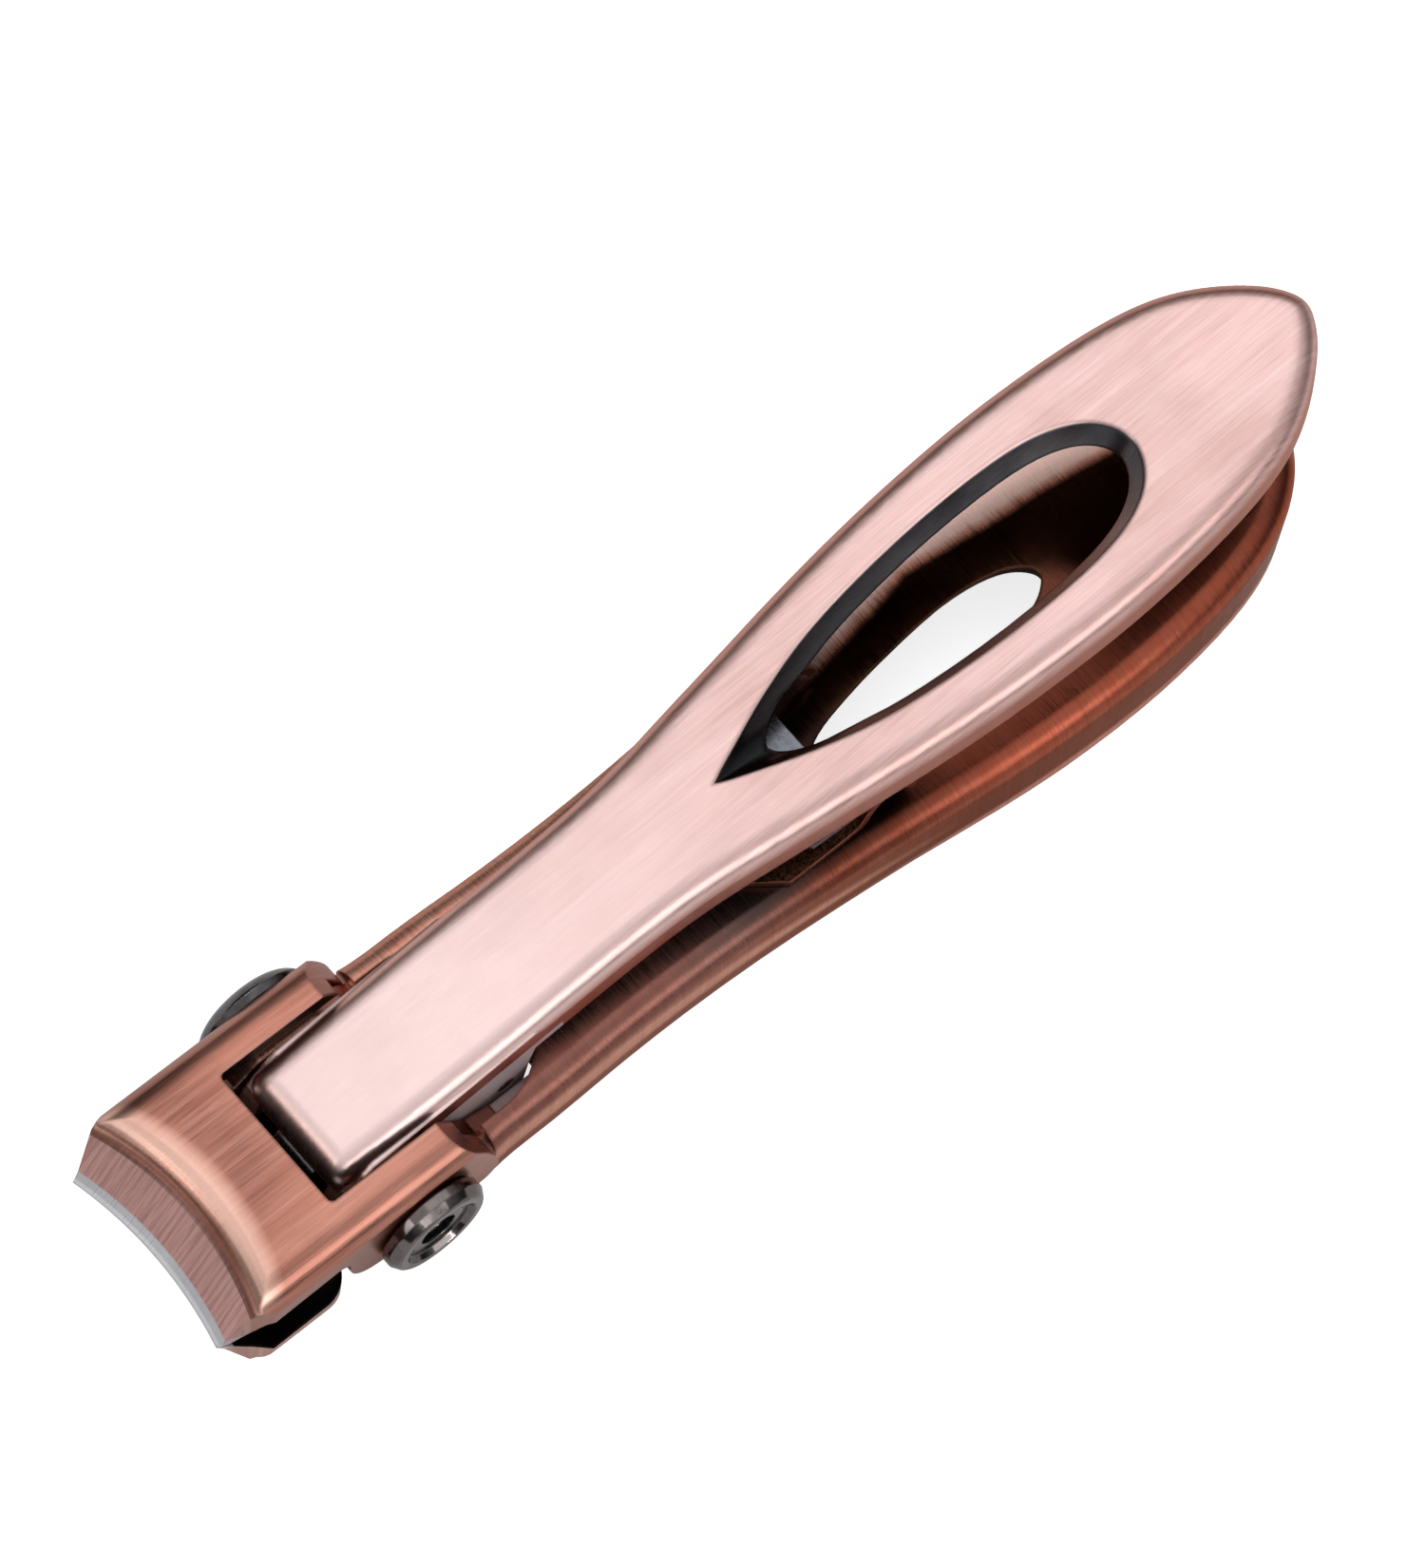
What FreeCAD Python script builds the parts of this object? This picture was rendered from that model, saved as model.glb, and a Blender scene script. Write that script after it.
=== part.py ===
import FreeCAD, Part
import os, math
from FreeCAD import Vector

# Wide-jaw plier-type nail clipper, millimetres, modelled with the jaws closed.
# Frame: +X from the jaws (front) towards the handle tails (rear), +Y across, +Z up.
# Origin: on the flat underside of the lower jaw, straight below the pivot rivet.
# Heights called "above the pivot" become absolute by adding PIVOT_Z.

# ---------------------------------------------------------------- shared dimensions
PIVOT_Z = 4.20          # pivot axis above the rest plane
SHANK_R = 2.00          # pivot rivet shank
RUN = 0.05              # radial running clearance on the pivot
SNUG = 0.01             # radial clearance of parts that sit still on the shank
PIN_R = 0.65            # holes for the small pins and studs
PIN_CLEAR = 0.01        # pins and studs are this much smaller in radius
LOCK_PIN_AT = (-3.1, -1.55)    # x, height above the pivot: ties lower jaw and lever
STUD_AT = (4.35, -0.45)        # ties upper jaw and lower handle
LEAF_PIN_AT = (9.2, 0.2)       # carries the upper leaf spring

# ---------------------------------------------------------------- jaw dimensions
JAW_T = 1.60            # upper jaw sheet thickness
JAW_TOP = 5.28          # top of the upper jaw above the pivot
EDGE_Z = 0.54           # cutting line above the pivot
EDGE_GAP = 0.03         # gap left between the two cutting edges
JAW_HALF = 8.15         # half width of the jaws
JAW_BLANK_HALF = 8.30   # half width of the bent-sheet profile that trims the jaws
JAW_BLANK_X = (-16.5, 7.5)
EAR_IN = 6.50           # inner face of the upper jaw's ears
BEND_R = 2.10           # outer bend radius of the upper jaw
SLOT_HALF = 5.30        # half width of the slot the lever passes through
SLOT_X = -5.42          # front end of that slot
STUD_SEAT = (6.0, 7.5)  # y span of the blind stud seats
LOWER_PLATE_T = 1.50    # flat plate of the lower jaw
LOWER_PLATE_HALF = 4.70     # its half width between the upper jaw's ears
LOWER_PLATE_X = (-5.2, 4.2)     # front and rear of that narrow part
LOWER_EAR_Y = (1.70, 3.22)
LOWER_EAR_R = 2.95

# Jaw plan sections: height above the pivot, x of the front arc at mid width,
# x of its ends, half width at its ends. Bevel, blade, groove and ridge, going up.
JAW_SECTIONS = [
    (EDGE_Z, -14.65, -15.50, 6.85), (1.30, -14.02, -14.95, 7.02),
    (4.36, -11.98, -13.42, 7.72), (4.42, -11.66, -13.10, 7.76),
    (4.66, -11.50, -12.94, 7.82), (4.92, -11.24, -12.66, 7.92),
    (5.12, -10.86, -12.34, 8.02), (5.24, -10.35, -12.14, 8.08),
    (JAW_TOP, -9.80, -12.08, 8.10)]
UPPER_HOLLOW = [
    (EDGE_Z - 1.0, -14.35, -15.10, 6.2), (EDGE_Z + 0.10, -14.35, -15.10, 6.2),
    (2.2, -12.35, -13.35, 6.3), (JAW_TOP - JAW_T, -10.85, -12.0, 6.45)]
LOWER_HOLLOW = [
    (EDGE_Z - 1.0, -14.35, -15.22, 7.2), (EDGE_Z + 0.10, -14.35, -15.22, 7.2),
    (2.2, -12.45, -13.6, 8.6), (JAW_TOP - LOWER_PLATE_T, -10.95, -12.2, 9.3)]
# Corners behind the front arc: x, half width
JAW_CORNERS = [(-12.05, 8.28), (7.0, JAW_HALF - 0.05)]
UPPER_HOLLOW_CORNERS = [(-11.6, EAR_IN + 0.1), (9.0, EAR_IN)]
LOWER_HOLLOW_CORNERS = [(-11.6, 9.5), (9.0, 9.5)]

# Side outline of the upper jaw's ears, closed round the material to remove.
# x, height above the pivot; a step of one point is a line, of two an arc via the first.
EAR_CUT_START = (-16.5, EDGE_Z)
EAR_CUT_STEPS = [
    [(-14.75, EDGE_Z)],
    [(-12.6, 2.15)],
    [(-7.3, 2.30)],
    [(-6.35, 1.90), (-6.05, 0.90)],
    [(-5.35, -0.95), (-3.60, -2.00)],
    [(0.40, -2.45), (4.30, -1.90)],
    [(5.55, -1.50), (5.92, -0.55)],
    [(4.92, 2.20), (2.75, JAW_TOP + 0.02)],
    [(2.75, JAW_TOP + 3)],
    [(12, JAW_TOP + 3)],
    [(12, -9)],
    [(-16.5, -9)],
    [EAR_CUT_START]]

# ---------------------------------------------------------------- lever dimensions
LEVER_TILT = 8.04       # lever top against the jaw plane, degrees
LEVER_TOP = 5.07        # lever top above the pivot, square to the lever
LEVER_DEPTH = 3.60      # flange depth including the top plate
LEVER_T = 1.50          # flange thickness
LEVER_PLATE = 1.70      # top plate thickness
LEVER_EAR_OUT = 4.80
LEVER_EAR_IN = LEVER_EAR_OUT - LEVER_T
LEVER_FRONT = -3.50
LEVER_FRONT_HALF = 4.45
LEVER_TAIL = 79.0
# Lever outline: distance along the lever from the pivot, half width
LEVER_OUTLINE = [
    (0.0, 4.60), (3.5, 4.70), (9.3, 4.80), (15.0, 4.80), (21.0, 4.86), (24.5, 5.02),
    (27.5, 5.33), (31.0, 5.82), (35.0, 6.36), (39.0, 6.92), (43.5, 7.48), (48.5, 7.94),
    (53.0, 8.18), (57.5, 8.25), (62.5, 8.03), (66.5, 7.64), (69.5, 7.13), (72.0, 6.40),
    (74.0, 5.45), (75.8, 4.25), (77.4, 2.85), (78.5, 1.45)]
# Window in the lever below its edge bevel: distance along the lever, half width
WINDOW = [
    (31.6, 0.48), (33.3, 1.14), (35.3, 1.92), (37.6, 2.68), (39.7, 3.27), (42.4, 3.80),
    (45.5, 4.20), (49.0, 4.48), (52.8, 4.60), (56.3, 4.52), (59.3, 4.18), (61.7, 3.42),
    (63.4, 2.20)]
WINDOW_TIP, WINDOW_END = 30.5, 64.35
WINDOW_SLANT = 0.85     # how far the wall leans in over the plate thickness
WINDOW_BEVEL = 0.22     # bevel along the window's upper edge
WINDOW_OVERCUT = 0.4    # the cutter runs on this far under the plate
# Round front end of the window's lower edge, set back from the tip; it replaces
# the first points of the inset window outline
WINDOW_LOW_TIP = 35.7
WINDOW_LOW_FRONT = [(35.80, 0.42), (36.12, 0.86), (36.70, 1.30), (38.15, 1.92)]
# Side outline of the lever's ears: x, height above the pivot
LEVER_EAR = [
    (-2.3, 3.4), (-3.9, 1.4), (-4.45, -0.4), (-4.25, -1.9), (-3.5, -2.62),
    (4.25, -2.62), (5.1, -3.35), (7.9, -3.35), (9.6, -2.7), (10.7, -1.2),
    (11.0, 1.6), (11.5, 3.6), (12.6, 5.9), (6.0, 4.9), (-1.5, 3.9)]

# ---------------------------------------------------------------- lower handle dimensions
HANDLE_TILT = 1.33      # lower handle top against the jaw plane, degrees
HANDLE_SLOPE = math.tan(math.radians(HANDLE_TILT))
HANDLE_TOP = 1.00       # lower handle top above the pivot, at the pivot
HANDLE_T = 1.50
HANDLE_EAR_Y = (5.04, 6.44)     # inner and outer faces of the ears
HANDLE_FRONT = 6.05
HANDLE_FRONT_HALF = 7.68
HANDLE_TAIL = 77.2
# Lower handle outline: x, half width
HANDLE_OUTLINE = [
    (6.2, 7.66), (10.0, 7.52), (16.0, 7.32), (22.0, 7.25), (29.0, 7.48), (35.0, 7.92),
    (41.4, 8.52), (47.8, 9.18), (53.5, 9.50), (58.0, 9.52), (62.5, 9.24), (66.6, 8.68),
    (69.8, 7.90), (72.1, 6.95), (73.9, 5.80), (75.4, 4.40), (76.45, 2.85), (77.0, 1.4)]
# Window in the handle at its upper edge: x, half width
HOLE = [
    (39.6, 0.42), (41.2, 0.80), (43.2, 1.18), (45.6, 1.52), (48.4, 1.82), (51.2, 1.96),
    (53.4, 1.84), (55.2, 1.46), (56.4, 0.84)]
HOLE_TIP, HOLE_END = 38.5, 57.0
HOLE_FLARE = 0.80       # how much wider the window is at its lower edge
# Material removed below the handle, up to its underside line: x, z
HANDLE_UNDERSIDE = [
    (-5, -5), (90, -5), (90, 0.0), (52.0, 0.0), (40, 0.62), (22, 0.92), (-5, 1.05)]
LEVER_SLOT_X = 8.0      # centre of the slot's half-elliptic rear end
LEVER_SLOT_HALF = 6.02
LEVER_SLOT_REACH = 5.45     # from that centre to the rear end
# Side outline of the ears and the arms behind them: x, height above the pivot
HANDLE_EAR = [
    (-4.9, 0.2), (-4.3, -1.6), (-3.0, -2.35), (4.0, -2.35), (7.6, -2.7), (13.4, -2.8),
    (13.4, -0.05), (7.6, -0.22), (7.6, 0.1), (5.6, 0.75), (4.4, 2.2), (2.2, 3.1),
    (-2.4, 3.1), (-4.4, 1.8)]

# ---------------------------------------------------------------- spring dimensions
LOWER_LEAF_T = 0.60
UPPER_LEAF_T = 0.50
SPRING_RIVET_X = (17.5, 22.5)
SPRING_RIVET_R = 0.89
SPRING_RIVET_HOLE_R = 0.90
# Middle line of the lower leaf: x, x at which the handle top is read, height over it
LOWER_LEAF_LINE = [
    (15.2, 15.2, 0), (17, 17, 0), (19, 19, 0), (21.5, 21.5, 0), (24, 24, 0),
    (26.5, 26.5, 0.01), (29, 29, 0.05), (33, 33, 0.16), (35.4, 35.4, 0.32),
    (36.7, 36, 0.75), (37.3, 37, 2.0), (38.3, 38, 2.85), (39.5, 39, 2.85),
    (40.5, 40, 2.0), (41.0, 41, 0.85)]
# Middle line of the upper leaf behind its eye: x, height above the pivot
UPPER_LEAF_LINE = [
    (12.6, 3.1), (15.5, 4.35), (19.5, 5.15), (24, 5.46), (28.5, 5.62), (32.0, 5.50),
    (34.6, 5.30), (36.5, 5.38)]
# Plan of each leaf: front and rear of the straight root, then the fan as x, half width
LOWER_LEAF_ROOT = (14, 27.5)
LOWER_LEAF_FAN = [(27, 3.1), (31.0, 6.2), (43, 6.35)]
UPPER_LEAF_ROOT = (0, 30.5)
UPPER_LEAF_FAN = [(30.4, 2.9), (32.6, 6.1), (38, 6.2)]
EYE_HALF = 2.9          # half length of the upper leaf's eye along Y
EYE_T = 0.55            # wall of the eye
EYE_R = PIN_R + 0.04    # bore of the eye

# ---------------------------------------------------------------- pivot stack dimensions
RIVET_FACE = JAW_HALF + 0.06    # y distance of the head and cap seats
HEAD_R = 4.10           # domed head, +Y side
HEAD_H = 1.70
CAP_R = 3.72            # cap, -Y side
CAP_T = 1.50
CAP_FLOOR = CAP_T - 0.38    # top of the recess in the cap
DISH_R = 1.30
DISH_DEPTH = 0.95
# Dome of the head: radius, height above its seat
DOME = [(0, HEAD_H), (1.5, HEAD_H - 0.05), (2.9, HEAD_H - 0.30), (3.75, HEAD_H - 0.78),
        (HEAD_R, 0.50)]
# Cap ring section: radius, height above its seat
CAP_SECTION = [
    (SHANK_R, 0.0), (CAP_R - 0.25, 0.0), (CAP_R, 0.25), (CAP_R, 0.85),
    (CAP_R - 0.32, CAP_T - 0.12), (CAP_R - 0.5, CAP_T), (2.72, CAP_T),
    (2.48, CAP_FLOOR), (SHANK_R, CAP_FLOOR)]
WASHER_R = 3.3
WASHER_Y = (4.84, 5.01)
SPACER_R = 2.50
SPACER_HALF = 1.66
STUD_Y = (5.08, 7.45)
PIN_HALF = 4.78         # half length of the pins that cross the lever


# ---------------------------------------------------------------- helpers
def save(name, shape):
    if shape.ShapeType == "Compound" and len(shape.Solids) == 1:
        shape = shape.Solids[0]
    shape.exportStep("parts/" + name + ".step")


def biggest(shape):
    return max(shape.Solids, key=lambda solid: solid.Volume)


def positive(shape):
    """Turn an inside-out solid the right way round."""
    if shape.Volume < 0:
        shape.reverse()
    return shape


def both_spans(inner, outer):
    """The y span on the +Y side, then its mirror image."""
    return (inner, outer), (-outer, -inner)


def box(x_min, x_max, y_min, y_max, z_min, z_max):
    return Part.makeBox(x_max - x_min, y_max - y_min, z_max - z_min,
                        Vector(x_min, y_min, z_min))


def cyl_y(x, z, radius, y_min, y_max):
    return Part.makeCylinder(radius, y_max - y_min, Vector(x, y_min, z), Vector(0, 1, 0))


def bore(radius, at=(0, 0), rise=PIVOT_Z):
    """Cutter right across the tool along Y; at is x and height above the pivot."""
    return cyl_y(at[0], rise + at[1], radius, -10, 10)


def tube_y(at, radius, hole_radius, y_min, y_max):
    x, z = at[0], PIVOT_Z + at[1]
    outer = cyl_y(x, z, radius, y_min, y_max)
    return outer.cut(cyl_y(x, z, hole_radius, y_min - 1, y_max + 1))


def plate_xz(points, y_min, y_max, rise=0):
    """Plate with a polygonal side outline."""
    corners = [Vector(x, y_min, z + rise) for x, z in points]
    face = Part.Face(Part.makePolygon(corners + corners[:1]))
    return face.extrude(Vector(0, y_max - y_min, 0))


def spline_edge(points):
    curve = Part.BSplineCurve()
    curve.interpolate(points)
    return curve.toShape()


def fillet_some(shape, radius, wanted):
    edges = [edge for edge in shape.Edges if wanted(edge)]
    if not edges:
        return shape
    # A radius that does not fit makes makeFillet fail; the shape then stays sharp.
    try:
        rounded = shape.makeFillet(radius, edges)
        if rounded.isValid() and rounded.Volume > 0:
            return rounded
    except Exception:
        pass
    return shape


def at_level(edge, z):
    bounds = edge.BoundBox
    return abs(bounds.ZMin - z) < 1e-3 and abs(bounds.ZMax - z) < 1e-3


def inset_points(points, distance):
    """Move points inwards along their normals; the inside is right of the walk."""
    moved = []
    last = len(points) - 1
    for i, (x, y) in enumerate(points):
        before = points[max(i - 1, 0)]
        after = points[min(i + 1, last)]
        step_x, step_y = after[0] - before[0], after[1] - before[1]
        length = math.hypot(step_x, step_y)
        moved.append((x + step_y / length * distance, y - step_x / length * distance))
    return moved


def outline_wire(table, tail, front, front_half, z, inset=0.0):
    """Handle plan: a spline round the tail, closed by a straight front."""
    points = list(table) + [(tail, 0.0)] + [(x, -half) for x, half in reversed(table)]
    points = inset_points(points, inset)
    left = Vector(front + inset, front_half - inset, z)
    right = Vector(front + inset, -(front_half - inset), z)
    spline = spline_edge([left] + [Vector(x, y, z) for x, y in points] + [right])
    return Part.Wire([spline, Part.makeLine(right, left)])


def oval_wire(tip, end, table, z):
    """One spline from the tip over the +Y side, round the end and back."""
    there = [Vector(x, half, z) for x, half in table]
    back = [Vector(x, -half, z) for x, half in reversed(table)]
    tip_point = Vector(tip, 0, z)
    return Part.Wire([spline_edge([tip_point] + there + [Vector(end, 0, z)] + back
                                  + [tip_point])])


def inset_half(tip, end, table, distance):
    """Inset the half outline of an oval, without its tip and end points."""
    return inset_points([(tip, 0.0)] + list(table) + [(end, 0.0)], distance)[1:-1]


def handle_top(x):
    return PIVOT_Z + HANDLE_TOP + HANDLE_SLOPE * x


def cut_spring_rivet_holes(body):
    for x in SPRING_RIVET_X:
        hole = Part.makeCylinder(SPRING_RIVET_HOLE_R, 10, Vector(x, 0, PIVOT_Z - 3))
        body = body.cut(hole)
    return body


# ---------------------------------------------------------------- jaws
def plan_sections(rows, corners):
    """Closed plan sections: concave front arc, then straight lines round the corners."""
    wires = []
    for z, mid_x, end_x, end_half in rows:
        arc = Part.Arc(Vector(end_x, -end_half, z), Vector(mid_x, 0, z),
                       Vector(end_x, end_half, z)).toShape()
        half = [(end_x, end_half)] + corners
        points = [Vector(x, y, z) for x, y in half]
        points += [Vector(x, -y, z) for x, y in reversed(half)]
        lines = [Part.makeLine(points[i], points[i + 1]) for i in range(5)]
        wires.append(Part.Wire([arc] + lines))
    return wires


def bent_sheet(half, top, radius, x_min, x_max, bottom=-8.0):
    """Block along X with rounded upper corners."""
    diagonal = math.sqrt(0.5)
    straight = half - radius
    shoulder = top - radius
    mid_y = straight + radius * diagonal
    mid_z = shoulder + radius * diagonal

    def point(y, z):
        return Vector(x_min, y, z)

    edges = [
        Part.makeLine(point(-half, bottom), point(-half, shoulder)),
        Part.Arc(point(-half, shoulder), point(-mid_y, mid_z),
                 point(-straight, top)).toShape(),
        Part.makeLine(point(-straight, top), point(straight, top)),
        Part.Arc(point(straight, top), point(mid_y, mid_z),
                 point(half, shoulder)).toShape(),
        Part.makeLine(point(half, shoulder), point(half, bottom)),
        Part.makeLine(point(half, bottom), point(-half, bottom))]
    return Part.Face(Part.Wire(edges)).extrude(Vector(x_max - x_min, 0, 0))


def ear_side_cut(y_min, y_max):
    edges = []
    start = Vector(EAR_CUT_START[0], y_min, EAR_CUT_START[1])
    for step in EAR_CUT_STEPS:
        points = [Vector(x, y_min, z) for x, z in step]
        if len(points) == 1:
            edges.append(Part.makeLine(start, points[0]))
        else:
            edges.append(Part.Arc(start, points[0], points[1]).toShape())
        start = points[-1]
    return Part.Face(Part.Wire(edges)).extrude(Vector(0, y_max - y_min, 0))


def build_upper_jaw():
    # built with heights above the pivot, then lifted
    sections = plan_sections(JAW_SECTIONS, JAW_CORNERS)
    blade = Part.makeLoft(sections, True, True)
    skirt = Part.Face(sections[0]).extrude(Vector(0, 0, -6.0))
    body = blade.fuse(skirt)
    body = body.common(bent_sheet(JAW_BLANK_HALF, JAW_TOP, BEND_R, *JAW_BLANK_X))
    hollow = plan_sections(UPPER_HOLLOW, UPPER_HOLLOW_CORNERS)
    body = body.cut(Part.makeLoft(hollow, True, True))
    body = body.cut(bent_sheet(EAR_IN, JAW_TOP - JAW_T, 0.7, -10.9, 9.0))
    # clear everything under the blade between the cheeks
    body = body.cut(box(-17, 9, -6.2, 6.2, -9, EDGE_Z))
    for span in both_spans(5.0, 9.0):
        body = body.cut(ear_side_cut(*span))
    slot = box(SLOT_X, 12, -SLOT_HALF, SLOT_HALF, 0, 9)
    slot = fillet_some(slot, 0.35, lambda edge: abs(edge.BoundBox.ZLength - 9) < 1e-6
                       and edge.BoundBox.XMax < SLOT_X + 0.01)
    body = body.cut(slot)
    body = body.cut(bore(SHANK_R + SNUG, rise=0))
    body = biggest(body)
    body.translate(Vector(0, 0, PIVOT_Z))
    # blind stud seats in the ears
    for span in both_spans(*STUD_SEAT):
        body = body.cut(cyl_y(STUD_AT[0], PIVOT_Z + STUD_AT[1], PIN_R, *span))
    return body


def build_lower_jaw():
    # the upper jaw's blade shape, turned over later, with a flat plate behind it
    front, rear = LOWER_PLATE_X
    blade = Part.makeLoft(plan_sections(JAW_SECTIONS, JAW_CORNERS), True, True)
    body = blade.common(bent_sheet(JAW_BLANK_HALF, JAW_TOP, 1.1, *JAW_BLANK_X))
    hollow = plan_sections(LOWER_HOLLOW, LOWER_HOLLOW_CORNERS)
    body = body.cut(Part.makeLoft(hollow, True, True))
    # the plate narrows behind the blade so that it swings between the ears
    for span in both_spans(LOWER_PLATE_HALF, 10):
        body = body.cut(box(front, 9, *span, 0, 9))
    body = body.cut(box(rear, 9, -10, 10, 0, 9))

    def outer_shoulder(edge):
        bounds = edge.BoundBox
        return (bounds.XLength < 1e-3 and abs(bounds.XMin - front) < 1e-3
                and bounds.ZLength > 0.3 and bounds.YLength < 0.05
                and min(abs(bounds.YMin), abs(bounds.YMax)) > 7)
    body = fillet_some(body, 2.6, outer_shoulder)
    # mirror in the cutting plane
    body = body.mirror(Vector(0, 0, EDGE_Z), Vector(0, 0, 1))
    body = biggest(body)
    # ears on the pivot, rooted in the plate
    plate_top = 2 * EDGE_Z - (JAW_TOP - LOWER_PLATE_T)
    root = plate_top - 0.3
    foot_outline = [(-4.4, root), (-4.4, -0.9), (-2.5, 1.3), (2.4, 1.4), (3.9, -1.2),
                    (4.0, root)]
    for span in both_spans(*LOWER_EAR_Y):
        lobe = cyl_y(0, 0, LOWER_EAR_R, *span)
        body = body.fuse(lobe.fuse(plate_xz(foot_outline, *span)))
    body = body.cut(bore(SHANK_R + RUN, rise=0))
    body = body.cut(bore(PIN_R, LOCK_PIN_AT, rise=0))
    body = body.removeSplitter()
    body.translate(Vector(0, 0, PIVOT_Z))
    # hair gap between the cutting edges, sparing the ears
    cut_line = PIVOT_Z + EDGE_Z
    gap = box(-17, 9, -10, 10, cut_line - EDGE_GAP, cut_line + 1)
    ear_zone = box(-6, 9, -3.3, 3.3, cut_line - EDGE_GAP, cut_line + 9)
    body = body.cut(gap.cut(ear_zone))
    return biggest(body)


# ---------------------------------------------------------------- lever
def lever_wire(z, inset=0.0):
    return outline_wire(LEVER_OUTLINE, LEVER_TAIL, LEVER_FRONT, LEVER_FRONT_HALF, z, inset)


def cut_lever_window(body):
    """Window with a wall that leans inwards going down, most at its pointed front."""
    slant = WINDOW_SLANT * (LEVER_PLATE + WINDOW_OVERCUT) / LEVER_PLATE
    low_points = inset_half(WINDOW_TIP, WINDOW_END, WINDOW, slant)
    low_points[:len(WINDOW_LOW_FRONT)] = WINDOW_LOW_FRONT
    wide = inset_half(WINDOW_TIP, WINDOW_END, WINDOW, -WINDOW_BEVEL)
    wide_tip = WINDOW_TIP - 2.2 * WINDOW_BEVEL
    wide_end = WINDOW_END + WINDOW_BEVEL
    wires = [
        oval_wire(WINDOW_LOW_TIP, WINDOW_END - slant, low_points,
                  LEVER_TOP - LEVER_PLATE - WINDOW_OVERCUT),
        oval_wire(WINDOW_TIP, WINDOW_END, WINDOW, LEVER_TOP - WINDOW_BEVEL),
        oval_wire(wide_tip, wide_end, wide, LEVER_TOP),
        oval_wire(wide_tip, wide_end, wide, LEVER_TOP + 2)]
    for lower, upper in zip(wires, wires[1:]):
        body = body.cut(positive(Part.makeLoft([lower, upper], True, True)))
    return body


def build_lever():
    # built level with heights above the pivot, then lifted and tilted
    body = Part.Face(lever_wire(LEVER_TOP)).extrude(Vector(0, 0, -LEVER_DEPTH))
    body = positive(body)
    body = fillet_some(body, 0.95,
                       lambda edge: abs(edge.BoundBox.ZLength - LEVER_DEPTH) < 1e-3
                       and edge.BoundBox.XMax < LEVER_FRONT + 0.1)
    # bend round the top rim, at the largest radius that works
    sharp_volume = body.Volume
    for radius in (1.6, 1.4, 1.15):
        body = fillet_some(body, radius, lambda edge: at_level(edge, LEVER_TOP))
        if body.Volume < sharp_volume - 1:
            break
    # channel under the top plate
    ceiling = LEVER_TOP - LEVER_PLATE
    pocket = Part.Face(lever_wire(ceiling, LEVER_T)).extrude(Vector(0, 0, -LEVER_DEPTH))
    pocket = fillet_some(pocket, 0.6, lambda edge: at_level(edge, ceiling))
    body = body.cut(pocket)
    body = cut_lever_window(body)
    body.translate(Vector(0, 0, PIVOT_Z))
    # lift the tail
    body.rotate(Vector(0, 0, PIVOT_Z), Vector(0, -1, 0), LEVER_TILT)
    # front wall is cut short over the rivet
    body = body.cut(box(-3.0, 4.4, -LEVER_EAR_IN, LEVER_EAR_IN, PIVOT_Z - 1,
                        PIVOT_Z + 3.10))

    # ears that reach down to the pivot
    def rear_corner(edge):
        bounds = edge.BoundBox
        return (bounds.YLength > 1.0 and abs(bounds.XLength) < 1e-6
                and abs(bounds.ZLength) < 1e-6 and 4.9 < bounds.XMin < 12.95)
    for span in both_spans(LEVER_EAR_IN, LEVER_EAR_OUT):
        ear = plate_xz(LEVER_EAR, *span, rise=PIVOT_Z)
        body = body.fuse(fillet_some(ear, 0.9, rear_corner))
    body = body.cut(bore(SHANK_R + RUN))
    body = body.cut(bore(PIN_R, LOCK_PIN_AT))
    body = body.cut(bore(PIN_R, LEAF_PIN_AT))
    return biggest(body)


# ---------------------------------------------------------------- lower handle
def above_handle(drop=0.0):
    """Everything above the handle's tilted top plane, lowered by drop."""
    return plate_xz([(-5, handle_top(-5) - drop), (90, handle_top(90) - drop),
                     (90, 30), (-5, 30)], -20, 20)


def handle_block(front, inset=0.0):
    wire = outline_wire(HANDLE_OUTLINE, HANDLE_TAIL, front, HANDLE_FRONT_HALF, 0.0, inset)
    return Part.Face(wire).extrude(Vector(0, 0, 20))


def on_handle_top(edge):
    for vertex in edge.Vertexes:
        if abs(vertex.Point.z - handle_top(vertex.Point.x)) > 0.02:
            return False
    middle = edge.valueAt((edge.FirstParameter + edge.LastParameter) / 2)
    return abs(middle.z - handle_top(middle.x)) < 0.02 and edge.BoundBox.XMax > 7


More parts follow.
